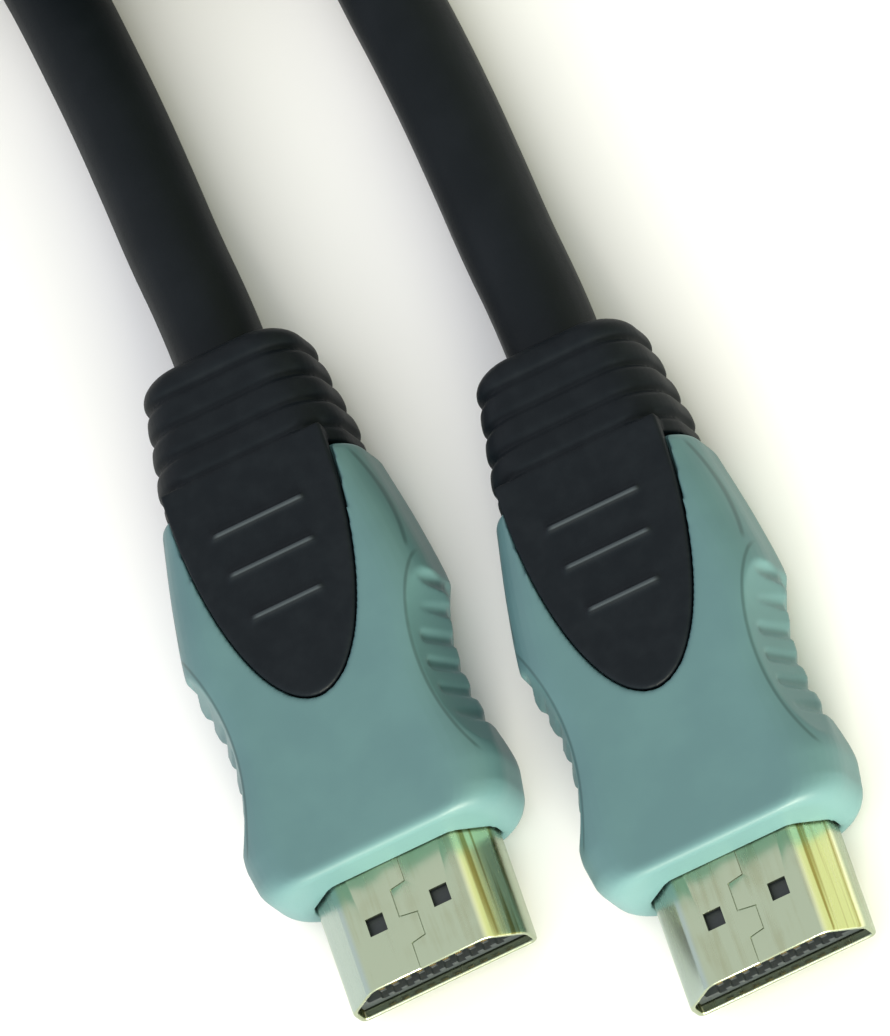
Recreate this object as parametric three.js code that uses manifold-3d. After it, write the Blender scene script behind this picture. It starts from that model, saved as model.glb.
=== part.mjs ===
// HDMI cable: two like moulded plugs side by side, and the round lead between them, put away as a tied hank.
// Millimetres, +Z up. The origin is on the floor, under the middle of the two plugs.
// X runs across the plugs and +Y from their metal mouths back along the lead.
import * as THREE from 'three';
import { mergeVertices } from 'three/addons/utils/BufferGeometryUtils.js';
import Module from 'manifold-3d';

const wasm = await Module();
wasm.setup();

// Gaps left between neighbours
const clearance = 0.3;
const snugFit = 0.15;

// Metal shell, a D section with its narrow face up
const shellWidth = 13.9;
const shellHeight = 4.45;
const shellNarrow = 9.1;
const shellSide = 2.15;
const shellSheet = 0.35;
const shellReach = 8.3;
const shellRoot = 4;
const shellCorner = 0.7;
const latchHole = 1.35;
const latchSpacing = 5;
const latchFromTip = 4.4;

// Black insert inside the shell, with the slot that takes a socket's tongue
const insertSetback = 0.7;
const slotWidth = 11.4;
const slotHeight = 1.9;
const slotDepth = 6.4;

// Contacts, in two staggered rows on the slot's walls
const contactPitch = 1;
const contactWidth = 0.45;
const contactThick = 0.25;
const contactLength = 5;
const contactSetback = 0.5;
const contactsInWideRow = 10;
const contactsInNarrowRow = 9;

// Grey moulded hood
const hoodLength = 29.5;
const hoodThick = 9.15;
const hoodSideRound = 2.8;
const hoodFrontRound = 0.8;
const hoodCorner = 2.3;
const hoodFrontHalf = 9.75;
const hoodLipHalf = 9.95;
const hoodWaistHalf = 9;
const hoodGripHalf = 9.7;
const hoodShoulderHalf = 9.05;
const hoodRearHalf = 7.75;
const hoodLipAt = 4;
const hoodWaistAt = 11;
const hoodGripAt = 17.5;
const hoodShoulderAt = 23;
const shellAboveHoodBottom = 3.8;

// Finger grip ridges on each side of the hood
const gripGrooves = 6;
const gripPitch = 2.05;
const gripFirstAt = 7.4;
const gripGrooveRadius = 1.1;
const gripGrooveDepth = 0.45;

// Black boot: a tongue on the hood's top and underside, and the ribbed collar that the lead comes out of
const tongueHalf = 6.3;
const tongueTipAt = 12.3;
const tongueThick = 0.95;
const tongueProud = 0.15;
const tongueSteps = 16;
const collarLength = 10.4;
const collarRootHalf = 7.2;
const collarRearHalf = 5.8;
const collarHeight = 8.5;
const collarRound = 3.5;
const ribCount = 4;
const ribPitch = 2.25;
const ribWidth = 1.75;
const ribGrooveDepth = 0.4;
const ribRound = 0.35;
const collarEndRound = 0.8;

// The pair of plugs
const plugSpacing = 22.8;
const plugStagger = 10.4;

// The lead and its hank
const cordDiameter = 6.8;
const cordSides = 10;
const cordPitch = 6.9;
const hankCentre = { x: -5, y: 93.2 };
const hankInnerRadius = 20.6;
const hankRun = 57;
const hankHeight = 24.6;
const tieWidth = 9;
const tieThick = 0.9;

const cordRadius = cordDiameter / 2;
const hankOuterRadius = hankInnerRadius + cordPitch;
const hoodBottom = -shellAboveHoodBottom;
const hoodTop = hoodBottom + hoodThick;
const collarStart = hoodLength + clearance;
const collarEnd = collarStart + collarLength;
const plugFront = (plugStagger + shellReach - collarEnd) / 2;

// Where the lead lies between plug A and the hank, and between plug B and the hank
const leadA = [
  [-11.4, 29.75, 4.57],
  [-11.6, 33.5, 4.5],
  [-12.2, 39.2, 4.2],
  [-12.7, 45.0, 3.8],
  [-13.2, 50.4, 3.55],
  [-13.8, 55.6, 3.42],
  [-14.4, 60.3, 3.4],
  [-15.0, 64.0, 3.4],
  [-15.6, 67.5, 3.4],
  [-16.5, 71.1, 3.4],
  [-17.8, 74.6, 3.4],
  [-19.3, 77.6, 3.4],
];
const leadB = [
  [11.4, 19.35, 4.57],
  [11.2, 23.1, 4.5],
  [10.6, 28.8, 4.2],
  [10.1, 34.6, 3.8],
  [9.6, 40.0, 3.55],
  [9.0, 45.2, 3.42],
  [8.3, 50.4, 3.4],
  [7.8, 55.4, 3.4],
  [8.0, 60.4, 3.5],
  [9.3, 65.2, 3.75],
  [11.3, 69.5, 4.15],
  [13.0, 72.1, 4.38],
];

function solidOf(geometry) {
  const bare = geometry.clone();
  bare.deleteAttribute('normal');
  bare.deleteAttribute('uv');
  const merged = mergeVertices(bare, 1e-4);
  return new wasm.Manifold(new wasm.Mesh({
    numProp: 3,
    vertProperties: new Float32Array(merged.attributes.position.array),
    triVerts: new Uint32Array(merged.index.array),
  }));
}

function geometryOf(solid) {
  const mesh = solid.getMesh();
  const geometry = new THREE.BufferGeometry();
  geometry.setAttribute('position', new THREE.BufferAttribute(mesh.vertProperties, 3));
  geometry.setIndex(new THREE.BufferAttribute(mesh.triVerts, 1));
  geometry.computeVertexNormals();
  return geometry;
}

function block(x0, x1, y0, y1, z0, z1) {
  const box = new THREE.BoxGeometry(x1 - x0, y1 - y0, z1 - z0);
  return box.translate((x0 + x1) / 2, (y0 + y1) / 2, (z0 + z1) / 2);
}

// A closed shape from corners, each rounded by a quadratic curve that starts and ends `round` from it,
// or just short of half the way to the next corner where that is nearer
function roundedShape(corners, round) {
  const shape = new THREE.Shape();
  corners.forEach((corner, i) => {
    const toBefore = corners[(i + corners.length - 1) % corners.length].clone().sub(corner);
    const toAfter = corners[(i + 1) % corners.length].clone().sub(corner);
    const reach = Math.min(round, 0.49 * toBefore.length(), 0.49 * toAfter.length());
    const start = corner.clone().add(toBefore.setLength(reach));
    const end = corner.clone().add(toAfter.setLength(reach));
    if (i === 0) shape.moveTo(start.x, start.y);
    else shape.lineTo(start.x, start.y);
    shape.quadraticCurveTo(corner.x, corner.y, end.x, end.y);
  });
  shape.closePath();
  return shape;
}

// The shell's outline seen from the front, drawn in by `inset` on every side
function dCorners(inset) {
  const outline = [
    new THREE.Vector2(-shellWidth / 2, -shellHeight / 2),
    new THREE.Vector2(shellWidth / 2, -shellHeight / 2),
    new THREE.Vector2(shellWidth / 2, -shellHeight / 2 + shellSide),
    new THREE.Vector2(shellNarrow / 2, shellHeight / 2),
    new THREE.Vector2(-shellNarrow / 2, shellHeight / 2),
    new THREE.Vector2(-shellWidth / 2, -shellHeight / 2 + shellSide),
  ];
  return outline.map((corner, i) => {
    const before = outline[(i + outline.length - 1) % outline.length];
    const after = outline[(i + 1) % outline.length];
    const inA = inward(before, corner);
    const inB = inward(corner, after);
    const scale = inset / (1 + inA.dot(inB));
    return corner.clone().addScaledVector(inA.add(inB), scale);
  });
}

function inward(from, to) {
  const along = to.clone().sub(from).normalize();
  return new THREE.Vector2(-along.y, along.x);
}

function dShape(inset, hole) {
  const shape = roundedShape(dCorners(inset), shellCorner);
  if (hole !== undefined) shape.holes.push(roundedShape(dCorners(hole), shellCorner / 2));
  return shape;
}

// Extrudes a shape drawn in X and Z along Y, from yFront to yBack
function alongY(shape, yFront, yBack, bevel = 0, segments = 1) {
  const geometry = new THREE.ExtrudeGeometry(shape, {
    depth: yBack - yFront - 2 * bevel,
    bevelEnabled: bevel > 0,
    bevelSize: bevel,
    bevelOffset: -bevel,
    bevelThickness: bevel,
    bevelSegments: segments,
    curveSegments: 4,
    steps: 1,
  });
  return geometry.rotateX(Math.PI / 2).translate(0, yBack - bevel, 0);
}

// Extrudes a plan outline from zLow to zHigh with its upper and lower edges rounded
function slab(shape, zLow, zHigh, edge, segments) {
  const geometry = new THREE.ExtrudeGeometry(shape, {
    depth: zHigh - zLow - 2 * edge,
    bevelEnabled: edge > 0,
    bevelSize: edge,
    bevelOffset: -edge,
    bevelThickness: edge,
    bevelSegments: segments,
    curveSegments: 12,
    steps: 1,
  });
  return geometry.translate(0, 0, zLow + edge);
}

// A plug's pieces are made about its own axis: y = 0 is the hood's front face, z = 0 the middle of the shell

function shellSolid() {
  let shell = solidOf(alongY(dShape(0, shellSheet), -shellReach, shellRoot));
  const holeY = -shellReach + latchFromTip;
  for (const side of [-1, 1]) {
    const x = side * latchSpacing / 2;
    const punch = block(x - latchHole / 2, x + latchHole / 2, holeY - latchHole / 2,
      holeY + latchHole / 2, -shellHeight, shellHeight);
    shell = shell.subtract(solidOf(punch));
  }
  return shell;
}

function insertSolid() {
  const front = -shellReach + insertSetback;
  const body = solidOf(alongY(dShape(shellSheet + snugFit), front, shellRoot));
  const slot = block(-slotWidth / 2, slotWidth / 2, front - clearance, front + slotDepth,
    -slotHeight / 2, slotHeight / 2);
  return body.subtract(solidOf(slot));
}

function contactBlock(index, count, upper) {
  const x = (index - (count - 1) / 2) * contactPitch;
  const front = -shellReach + insertSetback + contactSetback;
  const wall = slotHeight / 2;
  const [low, high] = upper ? [wall - contactThick, wall] : [-wall, -wall + contactThick];
  return block(x - contactWidth / 2, x + contactWidth / 2, front, front + contactLength, low, high);
}

// The hood's right side in plan, from just behind its front corner to its rear end
function hoodSide() {
  return new THREE.SplineCurve([
    new THREE.Vector2(hoodFrontHalf, hoodCorner),
    new THREE.Vector2(hoodLipHalf, hoodLipAt),
    new THREE.Vector2(hoodWaistHalf, hoodWaistAt),
    new THREE.Vector2(hoodGripHalf, hoodGripAt),
    new THREE.Vector2(hoodShoulderHalf, hoodShoulderAt),
    new THREE.Vector2(hoodRearHalf, hoodLength),
  ]).getPoints(12);
}

function hoodHalfAt(y) {
  const side = hoodSide();
  const next = Math.max(1, side.findIndex((point) => point.y >= y));
  const [a, b] = [side[next - 1], side[next]];
  return a.x + (b.x - a.x) * (y - a.y) / (b.y - a.y);
}

// The hood's plan: its sides run on past both ends, so that only they are rounded over
function hoodSides() {
  const side = hoodSide();
  const ahead = -hoodSideRound - clearance;
  const shape = new THREE.Shape();
  shape.moveTo(-hoodFrontHalf, ahead);
  shape.lineTo(hoodFrontHalf, ahead);
  side.forEach((point) => shape.lineTo(point.x, point.y));
  shape.lineTo(hoodRearHalf, hoodLength - ahead);
  shape.lineTo(-hoodRearHalf, hoodLength - ahead);
  [...side].reverse().forEach((point) => shape.lineTo(-point.x, point.y));
  shape.closePath();
  return shape;
}

// A plan that only rounds the hood's two front corners
function hoodFrontCorners() {
  const flat = hoodFrontHalf - hoodCorner;
  const wide = 2 * hoodLipHalf;
  const shape = new THREE.Shape();
  shape.moveTo(-flat, 0);
  shape.lineTo(flat, 0);
  shape.quadraticCurveTo(hoodFrontHalf, 0, hoodFrontHalf, hoodCorner);
  shape.lineTo(wide, hoodLipAt);
  shape.lineTo(wide, 2 * hoodLength);
  shape.lineTo(-wide, 2 * hoodLength);
  shape.lineTo(-wide, hoodLipAt);
  shape.lineTo(-hoodFrontHalf, hoodCorner);
  shape.quadraticCurveTo(-hoodFrontHalf, 0, -flat, 0);
  shape.closePath();
  return shape;
}

// Half an ellipse with its tip towards the plug's mouth, carried on as a straight strip behind the hood
function tongueOutline(grow, rear) {
  const [half, reach] = [tongueHalf + grow, hoodLength - tongueTipAt + grow];
  const shape = new THREE.Shape();
  shape.moveTo(half, rear);
  shape.lineTo(-half, rear);
  for (let i = 0; i <= tongueSteps; i += 1) {
    const angle = Math.PI * i / tongueSteps;
    shape.lineTo(-half * Math.cos(angle), hoodLength - reach * Math.sin(angle));
  }
  shape.closePath();
  return shape;
}

function hoodSolid() {
  let hood = solidOf(slab(hoodSides(), hoodBottom, hoodTop, hoodSideRound, 3));
  hood = hood.intersect(solidOf(slab(hoodFrontCorners(), 2 * hoodBottom, 2 * hoodTop, 0, 1)));
  const [wide, middle] = [2 * hoodLipHalf, (hoodTop + hoodBottom) / 2];
  const ends = new THREE.Shape([
    new THREE.Vector2(-wide, -hoodThick / 2),
    new THREE.Vector2(wide, -hoodThick / 2),
    new THREE.Vector2(wide, hoodThick / 2),
    new THREE.Vector2(-wide, hoodThick / 2),
  ]);
  const frontRound = alongY(ends, 0, hoodLength, hoodFrontRound, 3).translate(0, 0, middle);
  hood = hood.intersect(solidOf(frontRound));
  const pocket = alongY(dShape(-snugFit), -clearance, shellRoot + clearance);
  hood = hood.subtract(solidOf(pocket));
  const recess = tongueThick - tongueProud + clearance;
  const seat = tongueOutline(clearance, hoodLength + 2 * clearance);
  hood = hood.subtract(solidOf(slab(seat, hoodTop - recess, hoodTop + clearance, 0, 1)));
  hood = hood.subtract(solidOf(slab(seat, hoodBottom - clearance, hoodBottom + recess, 0, 1)));
  for (let i = 0; i < gripGrooves; i += 1) {
    const y = gripFirstAt + i * gripPitch;
    const x = hoodHalfAt(y) + gripGrooveRadius - gripGrooveDepth;
    for (const side of [-1, 1]) {
      const cutter = new THREE.CylinderGeometry(gripGrooveRadius, gripGrooveRadius, 2 * hoodThick, 8);
      hood = hood.subtract(solidOf(cutter.rotateX(Math.PI / 2).translate(side * x, y, 0)));
    }
  }
  return hood;
}

function collarSection(half, height) {
  return roundedShape([
    new THREE.Vector2(-half, -height / 2),
    new THREE.Vector2(half, -height / 2),
    new THREE.Vector2(half, height / 2),
    new THREE.Vector2(-half, height / 2),
  ], collarRound);
}

function bootSolid() {
  const middle = (hoodTop + hoodBottom) / 2;
  const root = collarStart + collarLength - ribCount * ribPitch;
  const first = alongY(collarSection(collarRootHalf, collarHeight), collarStart, root + ribWidth / 2);
  let boot = solidOf(first);
  for (let i = 0; i < ribCount; i += 1) {
    const along = (i + 1) / ribCount;
    const half = collarRootHalf + (collarRearHalf - collarRootHalf) * along;
    const back = root + (i + 1) * ribPitch;
    const neck = collarSection(half - ribGrooveDepth, collarHeight - 2 * ribGrooveDepth);
    const rib = collarSection(half, collarHeight);
    const edge = i === ribCount - 1 ? collarEndRound : ribRound;
    boot = boot.add(solidOf(alongY(neck, back - ribPitch - ribWidth / 2, back - ribWidth / 2)));
    boot = boot.add(solidOf(alongY(rib, back - ribWidth, back, edge, 2)));
  }
  boot = boot.translate([0, 0, middle]);
  const strip = tongueOutline(0, collarStart + ribWidth);
  const top = hoodTop + tongueProud;
  boot = boot.add(solidOf(slab(strip, top - tongueThick, top, 0, 1)));
  return boot.add(solidOf(slab(strip, hoodBottom, hoodBottom + tongueThick - tongueProud, 0, 1)));
}

function routeOf(points) {
  const places = points.map((point) => new THREE.Vector3(...point));
  return new THREE.CatmullRomCurve3(places, false, 'centripetal');
}

function tube(route, radius, steps) {
  const section = new THREE.Shape();
  for (let i = 0; i < cordSides; i += 1) {
    const angle = (i + 0.5) * 2 * Math.PI / cordSides;
    const [u, v] = [radius * Math.cos(angle), radius * Math.sin(angle)];
    if (i === 0) section.moveTo(u, v);
    else section.lineTo(u, v);
  }
  section.closePath();
  return new THREE.ExtrudeGeometry(section, { steps, bevelEnabled: false, extrudePath: route });
}

function stadium(radius) {
  const shape = new THREE.Shape();
  const top = hankCentre.y + hankRun;
  shape.absarc(hankCentre.x, hankCentre.y, radius, Math.PI, 2 * Math.PI, false);
  shape.absarc(hankCentre.x, top, radius, 0, Math.PI, false);
  shape.closePath();
  return shape;
}

// The hank's outer shape, with the two leads' ways cut into it and a seat for each tie
function hankSolid(leads) {
  const outline = stadium(hankOuterRadius + cordRadius);
  outline.holes.push(stadium(hankInnerRadius - cordRadius));
  const ring = { depth: hankHeight, bevelEnabled: false, curveSegments: 14 };
  let hank = solidOf(new THREE.ExtrudeGeometry(outline, ring));
  for (const points of leads) {
    const last = new THREE.Vector3(...points.at(-1));
    const before = new THREE.Vector3(...points.at(-2));
    const on = last.clone().add(last.clone().sub(before).setLength(2 * clearance));
    const way = tube(routeOf([...points.slice(-6), on.toArray()]), cordRadius + clearance, 12);
    hank = hank.subtract(solidOf(way));
  }
  for (const side of [-1, 1]) {
    hank = hank.subtract(solidOf(tieBand(side, clearance)));
  }
  return hank;
}

// A flat band round one side of the hank. With `grow` it is the seat that the band lies in
function tieBand(side, grow) {
  const middle = hankCentre.x + side * (hankInnerRadius + hankOuterRadius) / 2;
  const half = (hankOuterRadius - hankInnerRadius) / 2 + cordRadius;
  const ring = (inset) => [
    new THREE.Vector2(middle - half + inset, inset),
    new THREE.Vector2(middle + half - inset, inset),
    new THREE.Vector2(middle + half - inset, hankHeight - inset),
    new THREE.Vector2(middle - half + inset, hankHeight - inset),
  ];
  const band = roundedShape(ring(-grow), cordRadius / 2);
  band.holes.push(roundedShape(ring(tieThick + grow), cordRadius / 2));
  const y = hankCentre.y + hankRun / 2;
  return alongY(band, y - tieWidth / 2 - grow, y + tieWidth / 2 + grow);
}

function material(color, roughness, metalness = 0) {
  return new THREE.MeshStandardMaterial({ color, roughness, metalness });
}

function part(name, geometry, finish) {
  const mesh = new THREE.Mesh(geometry, finish);
  mesh.name = name;
  return mesh;
}

function plug(letter) {
  const group = new THREE.Group();
  group.add(part(`hood_${letter}`, geometryOf(hoodSolid()), material(0x7f9c9b, 0.55)));
  group.add(part(`boot_${letter}`, geometryOf(bootSolid()), material(0x1d2126, 0.6)));
  group.add(part(`shell_${letter}`, geometryOf(shellSolid()), material(0xc9c6a8, 0.25, 1)));
  group.add(part(`insert_${letter}`, geometryOf(insertSolid()), material(0x111214, 0.5)));
  const rows = [[contactsInWideRow, false], [contactsInNarrowRow, true]];
  let number = 0;
  for (const [count, upper] of rows) {
    for (let i = 0; i < count; i += 1) {
      number += 1;
      const name = `contact_${letter}_${String(number).padStart(2, '0')}`;
      group.add(part(name, contactBlock(i, count, upper), material(0xd8b25a, 0.3, 1)));
    }
  }
  return group;
}

function cable() {
  const object = new THREE.Group();
  const a = plug('a');
  a.position.set(-plugSpacing / 2, plugFront, shellAboveHoodBottom);
  const b = plug('b');
  b.position.set(plugSpacing / 2, plugFront - plugStagger, shellAboveHoodBottom);
  object.add(a, b);
  const jacket = material(0x17191c, 0.6);
  object.add(part('cord_lead_a', tube(routeOf(leadA), cordRadius, 18), jacket));
  object.add(part('cord_lead_b', tube(routeOf(leadB), cordRadius, 20), jacket.clone()));
  object.add(part('cord_hank', geometryOf(hankSolid([leadA, leadB])), jacket.clone()));
  object.add(part('tie_left', tieBand(-1, 0), material(0x26292c, 0.8)));
  object.add(part('tie_right', tieBand(1, 0), material(0x26292c, 0.8)));
  return object;
}

export default cable();
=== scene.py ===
import math

import bmesh
import bpy
from mathutils import Matrix, Vector


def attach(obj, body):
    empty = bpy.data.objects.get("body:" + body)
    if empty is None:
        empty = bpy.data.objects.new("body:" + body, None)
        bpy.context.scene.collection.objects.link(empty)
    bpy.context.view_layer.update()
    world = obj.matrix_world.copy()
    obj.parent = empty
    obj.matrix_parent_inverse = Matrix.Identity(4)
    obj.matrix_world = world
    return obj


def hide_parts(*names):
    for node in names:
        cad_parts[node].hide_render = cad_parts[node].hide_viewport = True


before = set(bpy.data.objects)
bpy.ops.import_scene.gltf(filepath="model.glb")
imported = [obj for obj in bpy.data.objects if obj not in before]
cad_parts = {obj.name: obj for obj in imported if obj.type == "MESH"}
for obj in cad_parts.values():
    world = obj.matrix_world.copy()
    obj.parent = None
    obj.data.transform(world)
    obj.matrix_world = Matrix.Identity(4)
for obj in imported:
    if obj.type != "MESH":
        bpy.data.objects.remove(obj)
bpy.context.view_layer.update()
mm = 0.001

# Camera
view = {
    "lens": 803.7,  # millimetres, on a 36 mm sensor
    "distance": 1.6,
    "aim": (-0.0003, 0.01187, 0.0038),
    "right": (0.876, -0.303, -0.376),
    "up": (0.419, 0.863, 0.281),
}


def addCamera():
    up = Vector(view["up"]).normalized()
    back = Vector(view["right"]).cross(up).normalized()
    right = up.cross(back)
    turn = Matrix((right, up, back)).transposed().to_4x4()
    bpy.ops.object.camera_add()
    camera = bpy.context.object
    camera.data.lens = view["lens"]
    camera.data.sensor_width = 36
    camera.data.clip_start = 0.01
    camera.data.clip_end = 20
    camera.matrix_world = Matrix.Translation(Vector(view["aim"]) + back * view["distance"]) @ turn
    bpy.context.scene.camera = camera


addCamera()
print("camera placed")

# The cord, from plug a through the hank to plug b
cord = {
    "diameter": 6.8 * mm,
    "pitch": 6.9 * mm,  # from turn to turn, across and up
    "hankCentre": (-5 * mm, 93.2 * mm),
    "innerRadius": 20.6 * mm,
    "run": 57 * mm,
    "laps": 4,
    "joinA": math.radians(52),  # where lead a meets the hank, clockwise from its near end
    "joinB": math.radians(47),  # and lead b, the other way round
    "exitLift": 0.17,  # how far lead b leaves above the floor, in turns
    "crossing": 45 * mm,
    "step": 5 * mm,
    "insideBoot": 1.2 * mm,
    "bundleTop": 24.2 * mm,
    "tieLift": 1.05 * mm,  # the straps pass under the bundle, which lies up on them
    "tieReach": 5 * mm,  # lifted in full this far from the straps' middle, and then less over tieSpan
    "tieSpan": 22 * mm,
    "fineness": 6,  # steps round the cord, and along it between points
    "exit": (-11.4 * mm, 29.45 * mm, 4.575 * mm),
    "length": 1.4,
}
leadA = [
    (-11.4, 29.75, 4.57), (-11.6, 33.5, 4.5), (-12.2, 39.2, 4.2), (-12.7, 45.0, 3.8),
    (-13.2, 50.4, 3.55), (-13.8, 55.6, 3.42), (-14.4, 60.3, 3.4), (-15.0, 64.0, 3.4),
    (-15.6, 67.5, 3.4), (-16.5, 71.1, 3.4), (-17.8, 74.6, 3.4), (-19.3, 77.6, 3.4),
]
leadB = [
    (11.4, 19.35, 4.57), (11.2, 23.1, 4.5), (10.6, 28.8, 4.2), (10.1, 34.6, 3.8),
    (9.6, 40.0, 3.55), (9.0, 45.2, 3.42), (8.3, 50.4, 3.4), (7.8, 55.4, 3.4),
    (8.0, 60.4, 3.5), (9.3, 65.2, 3.75), (11.3, 69.5, 4.15), (13.0, 72.1, 4.38),
]


def smooth(t):
    t = min(1, max(0, t))
    return t * t * (3 - 2 * t)


def lapPlace(along, radius, lapRadius):
    # a place on the racetrack: clockwise from the middle of its near end, `along` measured at lapRadius
    quarter = lapRadius * math.pi / 2
    cx, cy = cord["hankCentre"]
    run = cord["run"]
    if along < quarter:
        angle = along / lapRadius
        return cx - radius * math.sin(angle), cy - radius * math.cos(angle)
    along -= quarter
    if along < run:
        return cx - radius, cy + along
    along -= run
    if along < 2 * quarter:
        angle = along / lapRadius
        return cx - radius * math.cos(angle), cy + run + radius * math.sin(angle)
    along -= 2 * quarter
    if along < run:
        return cx + radius, cy + run - along
    angle = (along - run) / lapRadius
    return cx + radius * math.cos(angle), cy - radius * math.sin(angle)


def hankPoints():
    # the inner turns climb a pitch each lap, then the cord crosses over and the outer turns come down
    inner, pitch, run = cord["innerRadius"], cord["pitch"], cord["run"]
    lapRadius = inner + pitch / 2
    lap = 2 * run + 2 * math.pi * lapRadius
    start = lapRadius * cord["joinA"]
    end = (cord["laps"] + 1) * lap - lapRadius * cord["joinB"]
    middle = (start + end) / 2
    count = round((end - start) / cord["step"])
    points = []
    for i in range(count + 1):
        s = start + (end - start) * i / count
        over = smooth((s - middle) / (2 * cord["crossing"]) + 0.5)
        rise = (s - start) / lap
        fall = (end - s) / lap + cord["exitLift"]
        x, y = lapPlace(s % lap, inner + pitch * over, lapRadius)
        fromTie = abs(y - cord["hankCentre"][1] - run / 2)
        lift = cord["tieLift"] * (1 - smooth((fromTie - cord["tieReach"]) / cord["tieSpan"]))
        points.append((x, y, cord["diameter"] / 2 + pitch * (rise + (fall - rise) * over) + lift))
    return points


def addCord():
    first, last = Vector(leadA[0]) * mm, Vector(leadB[0]) * mm
    tuck = Vector((0, cord["insideBoot"], 0))
    route = [first - tuck] + [Vector(p) * mm for p in leadA] + [Vector(p) for p in hankPoints()]
    route += [Vector(p) * mm for p in reversed(leadB)] + [last - tuck]
    curve = bpy.data.curves.new("cord", "CURVE")
    curve.dimensions = "3D"
    curve.bevel_depth = cord["diameter"] / 2
    curve.bevel_resolution = curve.resolution_u = cord["fineness"]
    curve.use_fill_caps = True
    spline = curve.splines.new("BEZIER")
    spline.bezier_points.add(len(route) - 1)
    for point, place in zip(spline.bezier_points, route):
        point.co = place
        point.handle_left_type = point.handle_right_type = "AUTO"
    piece = bpy.data.objects.new("cord", curve)
    bpy.context.collection.objects.link(piece)
    bpy.ops.object.select_all(action="DESELECT")
    piece.select_set(True)
    bpy.context.view_layer.objects.active = piece
    bpy.ops.object.convert(target="MESH")
    bpy.ops.object.shade_smooth()
    return piece, route


cordPiece, cordPath = addCord()
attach(cordPiece, "root")
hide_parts("cord_lead_a", "cord_lead_b", "cord_hank")
print("cord laid")

# Modelling helpers. The plug's pieces are made in millimetres about the plug's own axis:
# y = 0 is the hood's front face and z = 0 the middle of the metal shell
def pick(kind, chosen):
    bpy.ops.mesh.select_mode(type=kind)
    bpy.ops.mesh.select_all(action="DESELECT")
    mesh = bmesh.from_edit_mesh(bpy.context.object.data)
    parts = {"VERT": mesh.verts, "EDGE": mesh.edges, "FACE": mesh.faces}[kind]
    for part in parts:
        if chosen(part):
            part.select_set(True)
    mesh.select_flush_mode()
    bmesh.update_edit_mesh(bpy.context.object.data)


def newPiece(name, add, **settings):
    # a primitive with its place and turn already in its mesh
    bpy.ops.object.select_all(action="DESELECT")
    add(**settings)
    piece = bpy.context.object
    piece.name = piece.data.name = name
    bpy.ops.object.transform_apply(location=True, rotation=True, scale=True)
    return piece


def useModifier(piece, kind, **settings):
    bpy.ops.object.select_all(action="DESELECT")
    piece.select_set(True)
    bpy.context.view_layer.objects.active = piece
    modifier = piece.modifiers.new("step", kind)
    for name, value in settings.items():
        setattr(modifier, name, value)
    bpy.ops.object.modifier_apply(modifier=modifier.name)


def combine(piece, tools, operation):
    for tool in tools:
        useModifier(piece, "BOOLEAN", object=tool, operation=operation, solver="EXACT")
        bpy.data.objects.remove(tool)


def tidyFaces(piece):
    bpy.ops.object.select_all(action="DESELECT")
    piece.select_set(True)
    bpy.context.view_layer.objects.active = piece
    bpy.ops.object.mode_set(mode="EDIT")
    bpy.ops.mesh.select_all(action="SELECT")
    bpy.ops.mesh.remove_doubles(threshold=0.0005)
    bpy.ops.mesh.normals_make_consistent(inside=False)
    bpy.ops.object.mode_set(mode="OBJECT")


def moulded(piece, voxel, passes):
    # one even skin whose edges are slightly softened, as a mould leaves them
    useModifier(piece, "REMESH", mode="VOXEL", voxel_size=voxel)
    useModifier(piece, "SMOOTH", factor=0.5, iterations=passes)
    bpy.ops.object.shade_smooth()


def loft(name, corner, segments, stations):
    # a rounded rectangle carried along y. Each station is y, half width, half height, middle height
    y, half, tall, middle = stations[0]
    piece = newPiece(name, bpy.ops.mesh.primitive_plane_add, size=2, location=(0, y, middle),
                     rotation=(math.pi / 2, 0, 0))
    bpy.ops.object.mode_set(mode="EDIT")
    bpy.ops.mesh.select_all(action="SELECT")
    bpy.ops.transform.resize(value=(half, 1, tall), center_override=(0, y, middle))
    bpy.ops.mesh.bevel(offset=corner, segments=segments, affect="VERTICES", clamp_overlap=True)
    bpy.ops.mesh.select_all(action="SELECT")
    for nextY, nextHalf, nextTall, nextMiddle in stations[1:]:
        bpy.ops.mesh.extrude_region_move(
            TRANSFORM_OT_translate={"value": (0, nextY - y, nextMiddle - middle)})
        bpy.ops.transform.resize(value=(nextHalf / half, 1, nextTall / tall),
                                 center_override=(0, nextY, nextMiddle))
        y, half, tall, middle = nextY, nextHalf, nextTall, nextMiddle
    bpy.ops.object.mode_set(mode="OBJECT")
    tidyFaces(piece)
    return piece


def through(knots, y):
    # a smooth curve through (y, value) knots
    for i in range(len(knots) - 1):
        (y0, v0), (y1, v1) = knots[i], knots[i + 1]
        if y <= y1 or i == len(knots) - 2:
            before, after = knots[max(i - 1, 0)], knots[min(i + 2, len(knots) - 1)]
            m0 = (v1 - before[1]) / (y1 - before[0])
            m1 = (after[1] - v0) / (after[0] - y0)
            t, span = (y - y0) / (y1 - y0), y1 - y0
            rise = v0 + t * t * (3 - 2 * t) * (v1 - v0)
            return rise + span * (t * (1 - t) ** 2 * m0 - t * t * (1 - t) * m1)


def roundedEnd(depth, radius):
    # how far a round of this radius has drawn in, at a depth behind the end
    return radius - math.sqrt(max(0, radius ** 2 - max(0, radius - depth) ** 2))


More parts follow.
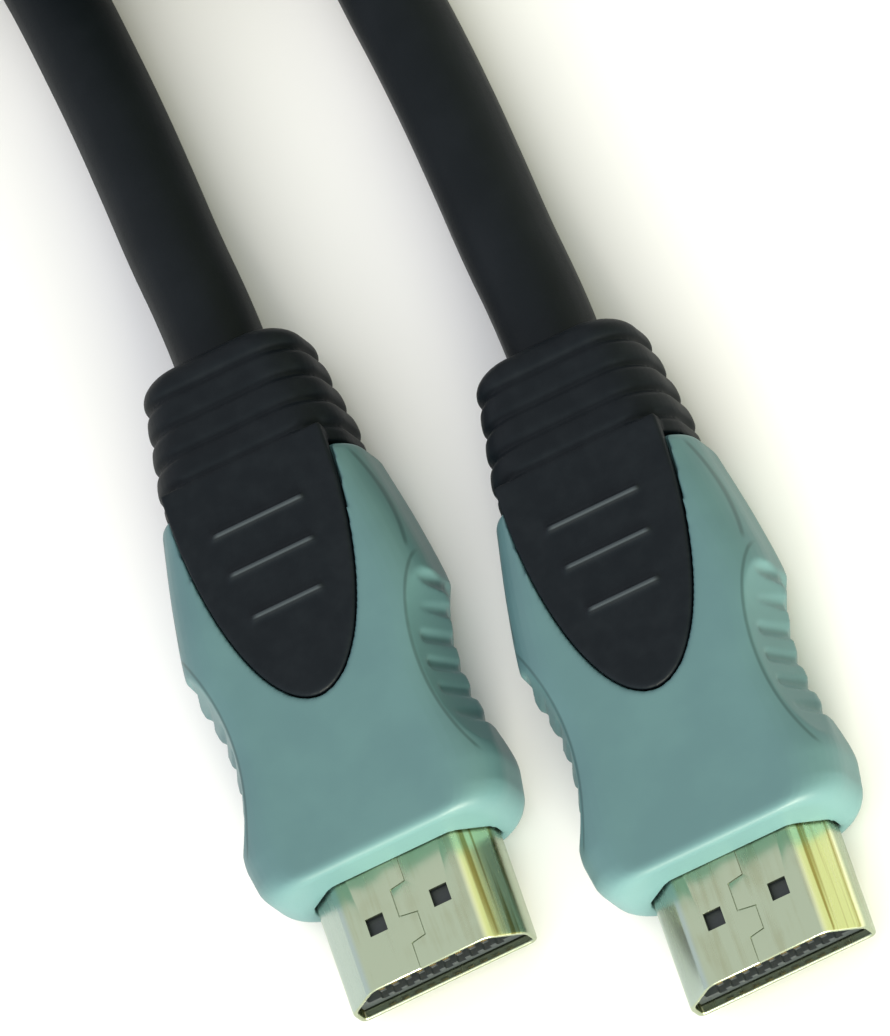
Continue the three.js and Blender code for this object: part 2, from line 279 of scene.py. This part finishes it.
# Shader helpers. A Wire is a socket that shader maths can be written with
class Wire:
    def __init__(self, tree, socket=None):
        self.tree, self.socket = tree, socket

    def node(self, kind, settings=None, inputs=None, output=0):
        made = self.tree.nodes.new(kind)
        for name, value in (settings or {}).items():
            setattr(made, name, value)
        for name, value in (inputs or {}).items():
            if isinstance(value, Wire):
                self.tree.links.new(value.socket, made.inputs[name])
            else:
                made.inputs[name].default_value = value
        return Wire(self.tree, made.outputs[output])

    def math(self, operation, first, second=0.0):
        return self.node("ShaderNodeMath", {"operation": operation}, {0: first, 1: second})

    def __add__(self, other):
        return self.math("ADD", self, other)

    def __sub__(self, other):
        return self.math("SUBTRACT", self, other)

    def __rsub__(self, other):
        return self.math("SUBTRACT", other, self)

    def __mul__(self, other):
        return self.math("MULTIPLY", self, other)

    __radd__, __rmul__ = __add__, __mul__

    def between(self, low, high):
        return self.node("ShaderNodeMapRange", {"interpolation_type": "SMOOTHSTEP"},
                         {"Value": self, "From Min": low, "From Max": high})

    def noise(self, scale, detail=2.0, stretch=(1, 1, 1)):
        place = self.node("ShaderNodeMapping", None, {"Vector": self, "Scale": stretch})
        return self.node("ShaderNodeTexNoise", None,
                         {"Vector": place, "Scale": scale, "Detail": detail})

    def mix(self, first, second):
        # the two colours, by this wire's value
        return self.node("ShaderNodeMix", {"data_type": "RGBA"}, {0: self, 6: first, 7: second}, 2)


def newFinish(name, constants):
    finish = bpy.data.materials.new(name)
    finish.use_nodes = True
    shader = finish.node_tree.nodes["Principled BSDF"]
    for socket, value in constants.items():
        shader.inputs[socket].default_value = value
    place = Wire(finish.node_tree).node("ShaderNodeTexCoord", output="Object")
    return finish, shader, place


def feed(shader, name, wire):
    wire.tree.links.new(wire.socket, shader.inputs[name])


def bumped(shader, height, distance, strength=1.0):
    bump = height.node("ShaderNodeBump", None,
                       {"Strength": strength, "Distance": distance, "Height": height})
    feed(shader, "Normal", bump)


# Hood: one moulding round the shell's root, with a finger scoop and grooves on each side
hood = {
    "length": 29.5, "bottom": -3.8, "top": 5.35,
    "sideRound": 2.8, "frontRound": 0.6, "cornerRound": 2.3,
    "halfWidths": [(2.3, 9.75), (4, 9.95), (11, 9), (17.5, 9.7), (23, 9.05), (29.5, 7.75)],
    "edgeSteps": [0, 0.03, 0.1, 0.22, 0.4, 0.6, 0.8], "cornerSteps": [1.1, 1.6, 2.3],
    "step": 0.6, "rearMargin": 1.4,
    "tongueGap": 0.12, "seatGap": 0.15, "seatRear": 32,
    "pocketGap": 0.12, "pocketDepth": 4.3,  # the hollow that the shell stands in
    "scoopRadius": 15.7, "scoopFlare": 0.4, "scoopCentre": (24.7, 11.8),  # flare: outwards per mm up
    "scoopTall": 7,
    "grooves": 6, "grooveFirst": 7.4, "groovePitch": 2.05,
    "grooveRadius": 0.7, "grooveDepth": 0.27, "grooveReach": 3.0, "grooveOverlap": 0.2,
    "leanLoss": 0.55, "leanSpread": 6,  # grooves stand up straighter away from the scoop's middle
    "voxel": 0.17, "softening": 3,
    # painted shade lines round the scoops and along the edge behind them: centre x and y, radius, first
    # and last y
    "lines": [(24.7, 11.8, 17.45, 3.6, 20.2), (-12.8, 20.6, 21.71, 20, 29)],
    "shadeLineHalf": 0.16, "shadeLineFade": 0.8,
}
hoodMiddle = (hood["top"] + hood["bottom"]) / 2
hoodTall = (hood["top"] - hood["bottom"]) / 2


def hoodHalf(y):
    corner = hood["cornerRound"]
    if y < corner:
        return hood["halfWidths"][0][1] - roundedEnd(y, corner)
    return through(hood["halfWidths"], y)


def hoodStations():
    edge, length = hood["frontRound"], hood["length"]
    places = hood["edgeSteps"] + hood["cornerSteps"]
    while places[-1] < length - hood["rearMargin"]:
        places.append(places[-1] + hood["step"])
    places += [length - depth for depth in reversed(hood["edgeSteps"])]
    stations = []
    for y in places:
        drawn = roundedEnd(min(y, length - y), edge)
        side = drawn if y > length / 2 else 0
        stations.append((y, hoodHalf(y) - side, hoodTall - drawn, hoodMiddle))
    return stations


def tongueShape(name, grow, low, high, rear):
    # a strip with one half-elliptic end, from z = low to high
    tip, half = hood["length"] - boot["tongueTip"] + grow, boot["tongueHalf"] + grow
    piece = newPiece(name, bpy.ops.mesh.primitive_circle_add, vertices=96, radius=1, fill_type="NGON",
                     location=(0, 0, low))
    bpy.ops.object.mode_set(mode="EDIT")
    bpy.ops.mesh.select_all(action="SELECT")
    bpy.ops.transform.resize(value=(half, tip, 1), center_override=(0, 0, low))
    bpy.ops.transform.translate(value=(0, hood["length"], 0))
    pick("VERT", lambda vertex: vertex.co.y > hood["length"] + 0.01)
    bpy.ops.transform.resize(value=(1, 0, 1), center_override=(0, rear, low))
    bpy.ops.mesh.select_all(action="SELECT")
    bpy.ops.mesh.extrude_region_move(TRANSFORM_OT_translate={"value": (0, 0, high - low)})
    bpy.ops.object.mode_set(mode="OBJECT")
    tidyFaces(piece)
    return piece


def shellBlock(name, grow, yFront, yBack):
    # the shell's D section as a solid, `grow` bigger all round
    half, tall = shell["half"] + grow, shell["tall"] + grow
    piece = newPiece(name, bpy.ops.mesh.primitive_plane_add, size=2, location=(0, yFront, 0),
                     rotation=(math.pi / 2, 0, 0))
    bpy.ops.object.mode_set(mode="EDIT")
    bpy.ops.mesh.select_all(action="SELECT")
    bpy.ops.transform.resize(value=(half, 1, tall), center_override=(0, yFront, 0))
    pick("VERT", lambda vertex: vertex.co.z > 0)
    bpy.ops.mesh.bevel(offset=shell["slope"], segments=1, affect="VERTICES")
    bpy.ops.mesh.select_all(action="SELECT")
    bpy.ops.mesh.bevel(offset=shell["cornerRound"] + grow, segments=4, affect="VERTICES")
    bpy.ops.mesh.select_all(action="SELECT")
    bpy.ops.mesh.extrude_region_move(TRANSFORM_OT_translate={"value": (0, yBack - yFront, 0)})
    bpy.ops.object.mode_set(mode="OBJECT")
    tidyFaces(piece)
    return piece


def scoopTools():
    tools = []
    x, y = hood["scoopCentre"]
    mid, tall = hood["scoopRadius"], hood["scoopTall"]
    for side in (-1, 1):
        for up in (-1, 1):
            ends = [mid, mid + hood["scoopFlare"] * tall]
            low, high = ends if up > 0 else reversed(ends)
            place = (side * x, y, hoodMiddle + up * tall / 2)
            tools.append(newPiece("scoop", bpy.ops.mesh.primitive_cone_add, vertices=160,
                                  radius1=low, radius2=high, depth=tall, location=place))
    return tools


def scoopFace(y):
    # x of the scoop's, or the hood's, side at the middle height
    x, yMiddle = hood["scoopCentre"]
    return min(hoodHalf(y), x - math.sqrt(hood["scoopRadius"] ** 2 - (y - yMiddle) ** 2))


def grooveTools():
    tools = []
    reach, radius, overlap = hood["grooveReach"], hood["grooveRadius"], hood["grooveOverlap"]
    for i in range(hood["grooves"]):
        y = hood["grooveFirst"] + i * hood["groovePitch"]
        fromMiddle = (y - hood["scoopCentre"][1]) / hood["leanSpread"]
        lean = math.atan(hood["scoopFlare"] * (1 - hood["leanLoss"] * fromMiddle ** 2))
        x = scoopFace(y) - hood["grooveDepth"] + radius
        for side in (-1, 1):
            for up in (-1, 1):
                half = reach / 2 + overlap
                place = (side * (x - math.tan(lean) * (half - overlap)), y,
                         hoodMiddle + up * (half - overlap))
                tools.append(newPiece("groove", bpy.ops.mesh.primitive_cylinder_add, vertices=20,
                                      radius=radius, depth=2 * half, location=place,
                                      rotation=(0, -side * up * lean, 0)))
                # the groove's rounded inner end
                tip = (side * (x - math.tan(lean) * reach), y, hoodMiddle + up * reach)
                tools.append(newPiece("grooveEnd", bpy.ops.mesh.primitive_uv_sphere_add, segments=20,
                                      ring_count=12, radius=radius, location=tip))
    return tools


def makeHood():
    piece = loft("hood", hood["sideRound"], 8, hoodStations())
    top, bottom, gap, rear = hood["top"], hood["bottom"], hood["tongueGap"], hood["seatRear"]
    recess = boot["tongueThick"] - boot["tongueProud"] + hood["seatGap"]
    tools = [shellBlock("pocket", hood["pocketGap"], -1, hood["pocketDepth"]),
             tongueShape("seatTop", gap, top - recess, top + 1, rear),
             tongueShape("seatUnder", gap, bottom - 1, bottom + recess, rear)]
    combine(piece, tools + scoopTools() + grooveTools(), "DIFFERENCE")
    moulded(piece, hood["voxel"], hood["softening"])
    return piece


# Boot: the black tongue on the hood's top and underside, and the ribbed collar round the cord
boot = {
    "tongueHalf": 6.3, "tongueTip": 12.3, "tongueThick": 0.95, "tongueProud": 0.15,
    "collarStart": 29.8, "collarEnd": 40.2,
    "tongueOverlap": 1.2,  # how far the tongue runs into the collar
    "rootHalf": 7.2, "rearHalf": 5.8, "rootTall": 4.6, "tall": 4.2, "rootRise": 0.12,
    "collarRound": 3.5, "endRound": 1.5, "step": 0.13, "settle": 1.6,
    "ribs": 4, "ribPitch": 2.25, "grooveDepth": 0.36, "grooveWidth": 0.5, "ribSwell": 0.16,
    "topShare": 0.6,  # of a groove's depth, on the top and underside
    "lines": [(26.3, 3.55), (23.1, 3.3), (19.5, 2.75)],  # y and half length of the cross lines
    "lineWidth": 0.26, "lineProud": 0.24, "lineShift": -0.1,
    "voxel": 0.15, "softening": 4,
}


def collarStations():
    root = boot["collarEnd"] - boot["ribs"] * boot["ribPitch"]
    stations, y = [], boot["collarStart"]
    while y <= boot["collarEnd"] + 0.001:
        along = max(0, y - root) / (boot["collarEnd"] - root)
        half = boot["rootHalf"] + (boot["rearHalf"] - boot["rootHalf"]) * along
        behind = (y - root) / boot["ribPitch"]
        nearest = abs(behind - round(behind)) * boot["ribPitch"]
        inside = -0.2 < behind and behind < boot["ribs"] - 0.4
        dip = boot["grooveDepth"] * (1 - smooth(nearest / boot["grooveWidth"])) if inside else 0
        swell = boot["ribSwell"] * math.sin(math.pi * (behind % 1)) if behind > 0 else 0
        end = roundedEnd(boot["collarEnd"] - y, boot["endRound"])
        toRear = min(1, boot["settle"] * along)
        tall = boot["rootTall"] + (boot["tall"] - boot["rootTall"]) * toRear
        middle = hoodMiddle + boot["rootRise"] * (1 - toRear)
        stations.append((y, half - dip + swell - end, tall - boot["topShare"] * dip - end, middle))
        y += boot["step"]
    return stations


def makeBoot():
    piece = loft("boot", boot["collarRound"], 10, collarStations())
    top = hood["top"] + boot["tongueProud"]
    under = hood["bottom"] + boot["tongueThick"] - boot["tongueProud"]
    rear = boot["collarStart"] + boot["tongueOverlap"]
    tools = [tongueShape("tongue", 0, top - boot["tongueThick"], top, rear),
             tongueShape("tongueUnder", 0, hood["bottom"], under, rear)]
    for y, half in boot["lines"]:
        tools.append(newPiece("line", bpy.ops.mesh.primitive_cylinder_add, vertices=16,
                              radius=boot["lineWidth"], depth=2 * half, rotation=(0, math.pi / 2, 0),
                              location=(boot["lineShift"], y,
                                        top + boot["lineProud"] - boot["lineWidth"])))
    combine(piece, tools, "UNION")
    moulded(piece, boot["voxel"], boot["softening"])
    return piece


# Shell: drawn sheet with a D section, two latch holes in each face and a dovetailed seam
shell = {
    "half": 6.95, "tall": 2.225, "slope": 2.35, "cornerRound": 0.55, "sheet": 0.35,
    "tip": -8.3, "root": 4, "leadIn": 0.4, "leadInDraw": 0.06, "rimRound": 0.14, "edgeBreak": 0.04,
    "holeAcross": 2.5, "holeY": -3.9, "holeHalf": 0.675,
    "seam": [(0.45, 0.3), (0.45, -1.8), (-0.75, -2.0), (-0.75, -4.1), (0.6, -4.3), (0.6, -6.1),
             (-0.5, -6.3), (-0.5, -8.4)],
    "seamWidth": 0.09, "seamDepth": 0.12,
}


def seamTools():
    tools = []
    for (x0, y0), (x1, y1) in zip(shell["seam"], shell["seam"][1:]):
        length, turn = math.hypot(x1 - x0, y1 - y0), math.atan2(y1 - y0, x1 - x0)
        bar = newPiece("seam", bpy.ops.mesh.primitive_cube_add, size=1)
        bpy.ops.object.mode_set(mode="EDIT")
        bpy.ops.mesh.select_all(action="SELECT")
        bpy.ops.transform.resize(value=(length + shell["seamWidth"], shell["seamWidth"],
                                        2 * shell["seamDepth"]))
        bpy.ops.object.mode_set(mode="OBJECT")
        bar.rotation_euler = (0, 0, turn)
        bar.location = ((x0 + x1) / 2, (y0 + y1) / 2, shell["tall"])
        bpy.ops.object.transform_apply(location=True, rotation=True, scale=True)
        tools.append(bar)
    return tools


def makeShell():
    tip, leadIn, draw = shell["tip"], shell["leadIn"], shell["leadInDraw"]
    piece = shellBlock("shell", 0, tip, shell["root"])
    bpy.ops.object.mode_set(mode="EDIT")
    for back in (leadIn, leadIn / 2):
        bpy.ops.mesh.select_all(action="SELECT")
        bpy.ops.mesh.bisect(plane_co=(0, tip + back, 0), plane_no=(0, 1, 0))
    for y, drawn in ((tip, draw), (tip + leadIn / 2, draw / 4)):
        pick("VERT", lambda vertex: abs(vertex.co.y - y) < 0.01)
        bpy.ops.transform.resize(value=(1 - drawn / shell["half"], 1, 1 - drawn / shell["tall"]),
                                 center_override=(0, y, 0))
    pick("FACE", lambda face: abs(face.normal.y) > 0.99)
    bpy.ops.mesh.delete(type="FACE")
    bpy.ops.object.mode_set(mode="OBJECT")
    useModifier(piece, "SOLIDIFY", thickness=shell["sheet"], offset=-1, use_even_offset=True)
    useModifier(piece, "BEVEL", width=shell["rimRound"], segments=4, limit_method="ANGLE",
                angle_limit=math.radians(60))
    tools = seamTools()
    for side in (-1, 1):
        for up in (-1, 1):
            place = (side * shell["holeAcross"], shell["holeY"], up * shell["tall"])
            tools.append(newPiece("hole", bpy.ops.mesh.primitive_cube_add, size=2 * shell["holeHalf"],
                                  location=place))
    combine(piece, tools, "DIFFERENCE")
    useModifier(piece, "BEVEL", width=shell["edgeBreak"], segments=2, limit_method="ANGLE",
                angle_limit=math.radians(50))
    bpy.ops.object.shade_smooth_by_angle(angle=math.radians(28))
    return piece


# Insert: the black moulding inside the shell, with the slot and the channels its contacts lie in
insert = {
    "inset": 0.5, "front": -7.6, "back": 4,
    "slotHalf": 5.7, "slotTall": 0.95, "slotDepth": 6.4, "slotLead": 0.5,
    "channelHalf": 0.27, "channelDepth": 0.4, "channelLength": 0.55, "channelOverlap": 0.05,
    "pitch": 1, "rows": [(10, -1), (9, 1)],  # how many contacts, on the wide side and the narrow one
    "edgeBreak": 0.06,
}


def makeInsert():
    piece = shellBlock("insert", -insert["inset"], insert["front"], insert["back"])
    front, depth, lead = insert["front"], insert["slotDepth"], insert["slotLead"]
    middle, overlap = (0, front + depth / 2 - lead, 0), insert["channelOverlap"]
    slot = newPiece("slot", bpy.ops.mesh.primitive_cube_add, size=2, location=middle)
    bpy.ops.object.mode_set(mode="EDIT")
    bpy.ops.mesh.select_all(action="SELECT")
    bpy.ops.transform.resize(value=(insert["slotHalf"], depth / 2 + lead, insert["slotTall"]),
                             center_override=middle)
    bpy.ops.object.mode_set(mode="OBJECT")
    tools = [slot]
    for count, side in insert["rows"]:
        for i in range(count):
            x = (i - (count - 1) / 2) * insert["pitch"]
            place = (x, front, side * (insert["slotTall"] + insert["channelDepth"] / 2 - overlap))
            channel = newPiece("channel", bpy.ops.mesh.primitive_cube_add, size=2, location=place)
            bpy.ops.object.mode_set(mode="EDIT")
            bpy.ops.mesh.select_all(action="SELECT")
            bpy.ops.transform.resize(value=(insert["channelHalf"], insert["channelLength"],
                                            insert["channelDepth"] / 2 + overlap),
                                     center_override=place)
            bpy.ops.object.mode_set(mode="OBJECT")
            tools.append(channel)
    combine(piece, tools, "DIFFERENCE")
    useModifier(piece, "BEVEL", width=insert["edgeBreak"], segments=2, limit_method="ANGLE",
                angle_limit=math.radians(40))
    bpy.ops.object.shade_smooth_by_angle(angle=math.radians(30))
    return piece


# Tie: a woven strap round one side bundle of the hank, with its end lapped over on top
tie = {
    "width": 9, "thick": 0.9, "gap": 0.12, "cornerRound": 3.9, "edgeBreak": 0.18,
    "tailHalf": 4.6, "tailInset": 0.4, "tailSink": 0.05, "tailRound": 3,
}


def makeTie(side):
    middle = cord["hankCentre"][0] / mm + side * (cord["innerRadius"] + cord["pitch"] / 2) / mm
    y = (cord["hankCentre"][1] + cord["run"] / 2) / mm
    top = cord["bundleTop"] / mm + cord["tieLift"] / mm + tie["gap"] + tie["thick"]
    half = (cord["pitch"] + cord["diameter"]) / 2 / mm + tie["gap"] + tie["thick"]
    z = top / 2
    piece = loft("strap", tie["cornerRound"], 8, [(y - tie["width"] / 2, half, top / 2, z),
                                                (y + tie["width"] / 2, half, top / 2, z)])
    bpy.ops.object.mode_set(mode="EDIT")
    pick("FACE", lambda face: abs(face.normal.y) > 0.99)
    bpy.ops.mesh.delete(type="FACE")
    bpy.ops.object.mode_set(mode="OBJECT")
    useModifier(piece, "SOLIDIFY", thickness=tie["thick"], offset=-1)
    place = (middle, y, top + tie["thick"] / 2)
    tail = newPiece("tail", bpy.ops.mesh.primitive_cube_add, size=2, location=place)
    bpy.ops.object.mode_set(mode="EDIT")
    bpy.ops.mesh.select_all(action="SELECT")
    bpy.ops.transform.resize(value=(tie["tailHalf"], tie["width"] / 2 - tie["tailInset"],
                                    tie["thick"] / 2 - tie["tailSink"]), center_override=place)
    pick("EDGE", lambda edge: abs(edge.verts[0].co.z - edge.verts[1].co.z) > 0.1
         and edge.verts[0].co.x > middle)
    bpy.ops.mesh.bevel(offset=tie["tailRound"], segments=6, affect="EDGES")
    bpy.ops.mesh.select_all(action="SELECT")
    bpy.ops.mesh.subdivide(number_cuts=1)
    bpy.ops.object.mode_set(mode="OBJECT")
    bpy.ops.object.select_all(action="DESELECT")
    piece.location.x = middle
    piece.select_set(True)
    tail.select_set(True)
    bpy.context.view_layer.objects.active = piece
    bpy.ops.object.join()
    bpy.ops.object.transform_apply(location=True, rotation=True, scale=True)
    useModifier(piece, "BEVEL", width=tie["edgeBreak"], segments=3, limit_method="ANGLE",
                angle_limit=math.radians(50))
    bpy.ops.object.shade_smooth_by_angle(angle=math.radians(30))
    return piece


# Each plug piece is made once, then copied and set down at both plugs
plugs = {"a": (-11.4, -10.75, 3.8), "b": (11.4, -21.15, 3.8)}


def setDown(piece, place):
    bpy.ops.object.select_all(action="DESELECT")
    piece.select_set(True)
    bpy.context.view_layer.objects.active = piece
    piece.scale = (mm, mm, mm)
    piece.location = Vector(place) * mm
    bpy.ops.object.transform_apply(location=True, rotation=True, scale=True)


def copyOf(piece, name):
    copy = piece.copy()
    copy.data = piece.data.copy()
    copy.name = copy.data.name = name
    bpy.context.collection.objects.link(copy)
    return copy


# Finishes
looks = {
    "hoodColour": (0.088, 0.178, 0.192, 1), "hoodPale": (0.097, 0.195, 0.206, 1),
    "hoodCreaseShade": (0.035, 0.075, 0.078, 1),
    "bootColour": (0.0035, 0.006, 0.009, 1), "bootDustAndHighlight": (0.05, 0.062, 0.072, 1),
    "shellColour": (0.4, 0.46, 0.33, 1), "shellTarnish": (0.3, 0.31, 0.18, 1),
    "slopeLeftReflection": (0.38, 0.46, 0.42, 1), "slopeRightReflection": (0.85, 0.88, 0.58, 1),
    "slopeReflectionStreak": (0.42, 0.36, 0.14, 1),
    "insertColour": (0.022, 0.03, 0.034, 1), "insertDeep": (0.018, 0.024, 0.028, 1),
    "goldColour": (0.9, 0.68, 0.3, 1), "goldScratch": (0.72, 0.5, 0.2, 1),
    "jacketColour": (0.0035, 0.006, 0.0085, 1), "jacketWorn": (0.008, 0.011, 0.015, 1),
    "strapColour": (0.012, 0.012, 0.013, 1), "strapThread": (0.035, 0.035, 0.037, 1),
    # how fine the grain of each is, in cells a metre
    "hoodGrain": 9000, "bootGrain": 7000, "shellBrushing": 1400, "insertGrain": 6000,
    "goldBrushing": 5000, "jacketGrain": 5200, "strapWarp": 420.0, "strapWeft": 520.0,
}


def plugAxes(place, letter):
    # a place in millimetres about this plug's own axis
    onPlug = place.node("ShaderNodeMapping", None, {
        "Vector": place, "Scale": (1 / mm, 1 / mm, 1 / mm),
        "Location": tuple(-c for c in plugs[letter])})
    x, y, z = [onPlug.node("ShaderNodeSeparateXYZ", None, {"Vector": onPlug}, output=axis)
               for axis in "XYZ"]
    return x.math("ABSOLUTE", x), y, z


def hoodShadeLines(place, letter):
    # painted shade: a fine dark line round each finger scoop, and along the edge that runs on from it
    # to the rear, in place of a groove's shade
    x, y, z = plugAxes(place, letter)
    fade, total = hood["shadeLineFade"], None
    for across, along, radius, first, last in hood["lines"]:
        dx, dy = x - across, y - along
        away = x.math("ABSOLUTE", x.math("SQRT", dx * dx + dy * dy) - radius)
        line = away.between(hood["shadeLineHalf"], 0.02) * y.between(first, first + fade)
        line = line * y.between(last, last - fade)
        total = line if total is None else total + line
    return total * z.between(2, 3)


def hoodFinish(letter):
    finish, shader, place = newFinish(f"hood_grey_{letter}", {"Specular IOR Level": 0.3})
    cloud = place.noise(160, 3)
    mottle = cloud.between(0.35, 0.65).mix(looks["hoodColour"], looks["hoodPale"])
    # painted shade in the creases and grooves, where the surface is concave
    creaseShade = place.node("ShaderNodeNewGeometry", output="Pointiness").between(0.49, 0.44)
    # painted shade lines round the scoops and along the rear edge
    line = hoodShadeLines(place, letter)
    # painted shade from the creases and from the lines round the scoops, mixed into the colour
    paintedShade = creaseShade.math("MAXIMUM", creaseShade, line * 0.65)
    feed(shader, "Base Color", paintedShade.mix(mottle, looks["hoodCreaseShade"]))
    fine = place.noise(looks["hoodGrain"], 1)
    feed(shader, "Roughness", 0.38 + 0.1 * fine)
    bumped(shader, fine, 0.00001, 0.35)
    return finish


def bootPaintedHighlights(place, letter):
    # painted highlight on the crests of the tongue's cross lines
    x, y, z = plugAxes(place, letter)
    total = None
    for along, half in boot["lines"]:
        away = y.math("ABSOLUTE", y - along)
        line = away.between(0.2, 0.08) * x.between(half + 0.1, half - 0.5)
        total = line if total is None else total + line
    return total * z.between(5.4, 5.56)


def bootFinish(letter):
    finish, shader, place = newFinish(f"boot_black_{letter}", {"Specular IOR Level": 0.13})
    dust = place.noise(700, 3).between(0.3, 0.8)
    # painted highlight on the cross lines' crests, plus real dust mottling
    dustAndHighlight = bootPaintedHighlights(place, letter) + dust * 0.06
    feed(shader, "Base Color", dustAndHighlight.mix(looks["bootColour"], looks["bootDustAndHighlight"]))
    fine = place.noise(looks["bootGrain"], 2)
    feed(shader, "Roughness", 0.46 + 0.12 * fine)
    bumped(shader, fine, 0.000015, 0.4)
    return finish


def shellFinish():
    finish, shader, place = newFinish("shell_metal", {"Metallic": 1.0})
    brushed = place.noise(looks["shellBrushing"], 3, (1, 0.06, 1))
    cloud = place.noise(330, 2)
    stain = (brushed * 0.6 + cloud * 0.4).between(0.48, 0.72)
    flat = (0.55 * stain).mix(looks["shellColour"], looks["shellTarnish"])
    facing = place.node("ShaderNodeNewGeometry", output="Normal")
    up, across = [facing.node("ShaderNodeSeparateXYZ", None, {"Vector": facing}, output=axis)
                  for axis in "ZX"]
    # painted reflection on the slopes: silver on the left, warm gold with dark streaks on the right, by
    # how the light falls on each side
    slope = up.between(0.3, 0.6) * across.math("ABSOLUTE", across).between(0.2, 0.5)
    slopeReflection = across.between(-0.1, 0.1).mix(looks["slopeLeftReflection"], looks["slopeRightReflection"])
    reflectionStreak = place.noise(1900, 2, (1, 0.02, 1)).between(0.5, 0.66)
    paintedSlopeReflection = (reflectionStreak * across.between(-0.1, 0.1)).mix(slopeReflection, looks["slopeReflectionStreak"])
    feed(shader, "Base Color", slope.mix(flat, paintedSlopeReflection))
    feed(shader, "Roughness", 0.2 + 0.12 * brushed)
    bumped(shader, brushed, 0.000004, 0.5)
    return finish


def insertFinish():
    finish, shader, place = newFinish("insert_black", {"Roughness": 0.5})
    fine = place.noise(looks["insertGrain"], 2)
    feed(shader, "Base Color", fine.between(0.3, 0.7).mix(looks["insertDeep"], looks["insertColour"]))
    bumped(shader, fine, 0.00001, 0.4)
    return finish


def goldFinish():
    finish, shader, place = newFinish("contact_gold", {"Metallic": 1.0})
    scratch = place.noise(looks["goldBrushing"], 2, (1, 0.1, 1))
    feed(shader, "Base Color", scratch.mix(looks["goldColour"], looks["goldScratch"]))
    feed(shader, "Roughness", 0.22 + 0.15 * scratch)
    return finish


def jacketFinish():
    finish, shader, place = newFinish("cord_jacket", {"Specular IOR Level": 0.13})
    dust = place.noise(220, 3).between(0.35, 0.75)
    feed(shader, "Base Color", (dust * 0.5).mix(looks["jacketColour"], looks["jacketWorn"]))
    fine = place.noise(looks["jacketGrain"], 2)
    feed(shader, "Roughness", 0.44 + 0.14 * fine)
    bumped(shader, fine, 0.00002, 0.4)
    return finish


def strapFinish():
    finish, shader, place = newFinish("tie_strap", {"Roughness": 0.9, "Sheen Weight": 0.3})
    warp = place.node("ShaderNodeTexWave", {"wave_type": "BANDS", "bands_direction": "Y"},
                      {"Vector": place, "Scale": looks["strapWarp"], "Distortion": 0.6})
    weft = place.node("ShaderNodeTexWave", {"wave_type": "BANDS", "bands_direction": "DIAGONAL"},
                      {"Vector": place, "Scale": looks["strapWeft"], "Distortion": 0.8})
    thread = warp * 0.5 + weft * 0.5
    feed(shader, "Base Color", thread.mix(looks["strapColour"], looks["strapThread"]))
    bumped(shader, thread, 0.0002, 0.8)
    return finish


finishes = {
    "hood_a": hoodFinish("a"), "hood_b": hoodFinish("b"),
    "boot_a": bootFinish("a"), "boot_b": bootFinish("b"),
    "shell": shellFinish(), "insert": insertFinish(), "contact": goldFinish(),
    "cord": jacketFinish(), "tie": strapFinish(),
}
print("finishes mixed")


def dress(piece, finish):
    piece.data.materials.clear()
    piece.data.materials.append(finish)
    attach(piece, "root")


makers = {"hood": (makeHood, "hood_grey"), "boot": (makeBoot, "boot_black"),
          "shell": (makeShell, "shell_metal"), "insert": (makeInsert, "insert_black")}
for kind, (make, slot) in makers.items():
    master = make()
    for letter, place in plugs.items():
        piece = copyOf(master, f"{kind}Detail_{letter}")
        setDown(piece, place)
        dress(piece, finishes.get(f"{kind}_{letter}") or finishes[kind])
        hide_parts(f"{kind}_{letter}")
    bpy.data.objects.remove(master)
    print(kind, "made")

for side, name, node in ((-1, "tieLeft", "tie_left"), (1, "tieRight", "tie_right")):
    master = makeTie(side)
    piece = copyOf(master, name)
    bpy.data.objects.remove(master)
    setDown(piece, (0, 0, 0))
    dress(piece, finishes["tie"])
    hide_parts(node)
print("ties made")

cordPiece.data.materials.append(finishes["cord"])
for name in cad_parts:
    if name.startswith("contact_"):
        for slot in bpy.data.objects[name].material_slots:
            slot.material = finishes["contact"]
print("contacts gilded")

# Floor and light
studio = {
    "floorColour": (0.94, 0.94, 0.94, 1),
    "frontPlace": (0.08, -0.9, 0.13), "frontSize": 0.4, "frontPower": 26,
    "frontColour": (1, 0.95, 0.76),
    "skyStrength": 1.1, "skyColour": (0.97, 0.98, 1.0, 1),
    "sideColour": (0.72, 0.76, 0.44, 1),  # warmer light from the right, as the shell's slopes show
}


def addFloor():
    floor = newPiece("floor", bpy.ops.mesh.primitive_plane_add, size=8)
    finish, shader, place = newFinish("floor_pale", {"Roughness": 0.9, "Specular IOR Level": 0.1})
    shader.inputs["Base Color"].default_value = studio["floorColour"]
    floor.data.materials.append(finish)


def addLights():
    bpy.ops.object.light_add(type="AREA", location=studio["frontPlace"])
    lamp = bpy.context.object
    lamp.data.energy = studio["frontPower"]
    lamp.data.size = studio["frontSize"]
    lamp.data.color = studio["frontColour"]
    lamp.rotation_euler = (-lamp.location).to_track_quat("-Z", "Y").to_euler()
    world = bpy.data.worlds.new("studio")
    world.use_nodes = True
    background = world.node_tree.nodes["Background"]
    toward = Wire(world.node_tree).node("ShaderNodeTexCoord", output="Generated")
    across = toward.node("ShaderNodeSeparateXYZ", None, {"Vector": toward}, output="X")
    seen = toward.node("ShaderNodeLightPath", output="Is Camera Ray")  # plain behind the floor's edge
    sky = (across.between(0.25, 0.8) * (1 - seen)).mix(studio["skyColour"], studio["sideColour"])
    feed(background, "Color", sky)
    background.inputs["Strength"].default_value = studio["skyStrength"]
    bpy.context.scene.world = world
    bpy.context.scene.view_settings.view_transform = "Standard"


addFloor()
addLights()
print("studio lit")
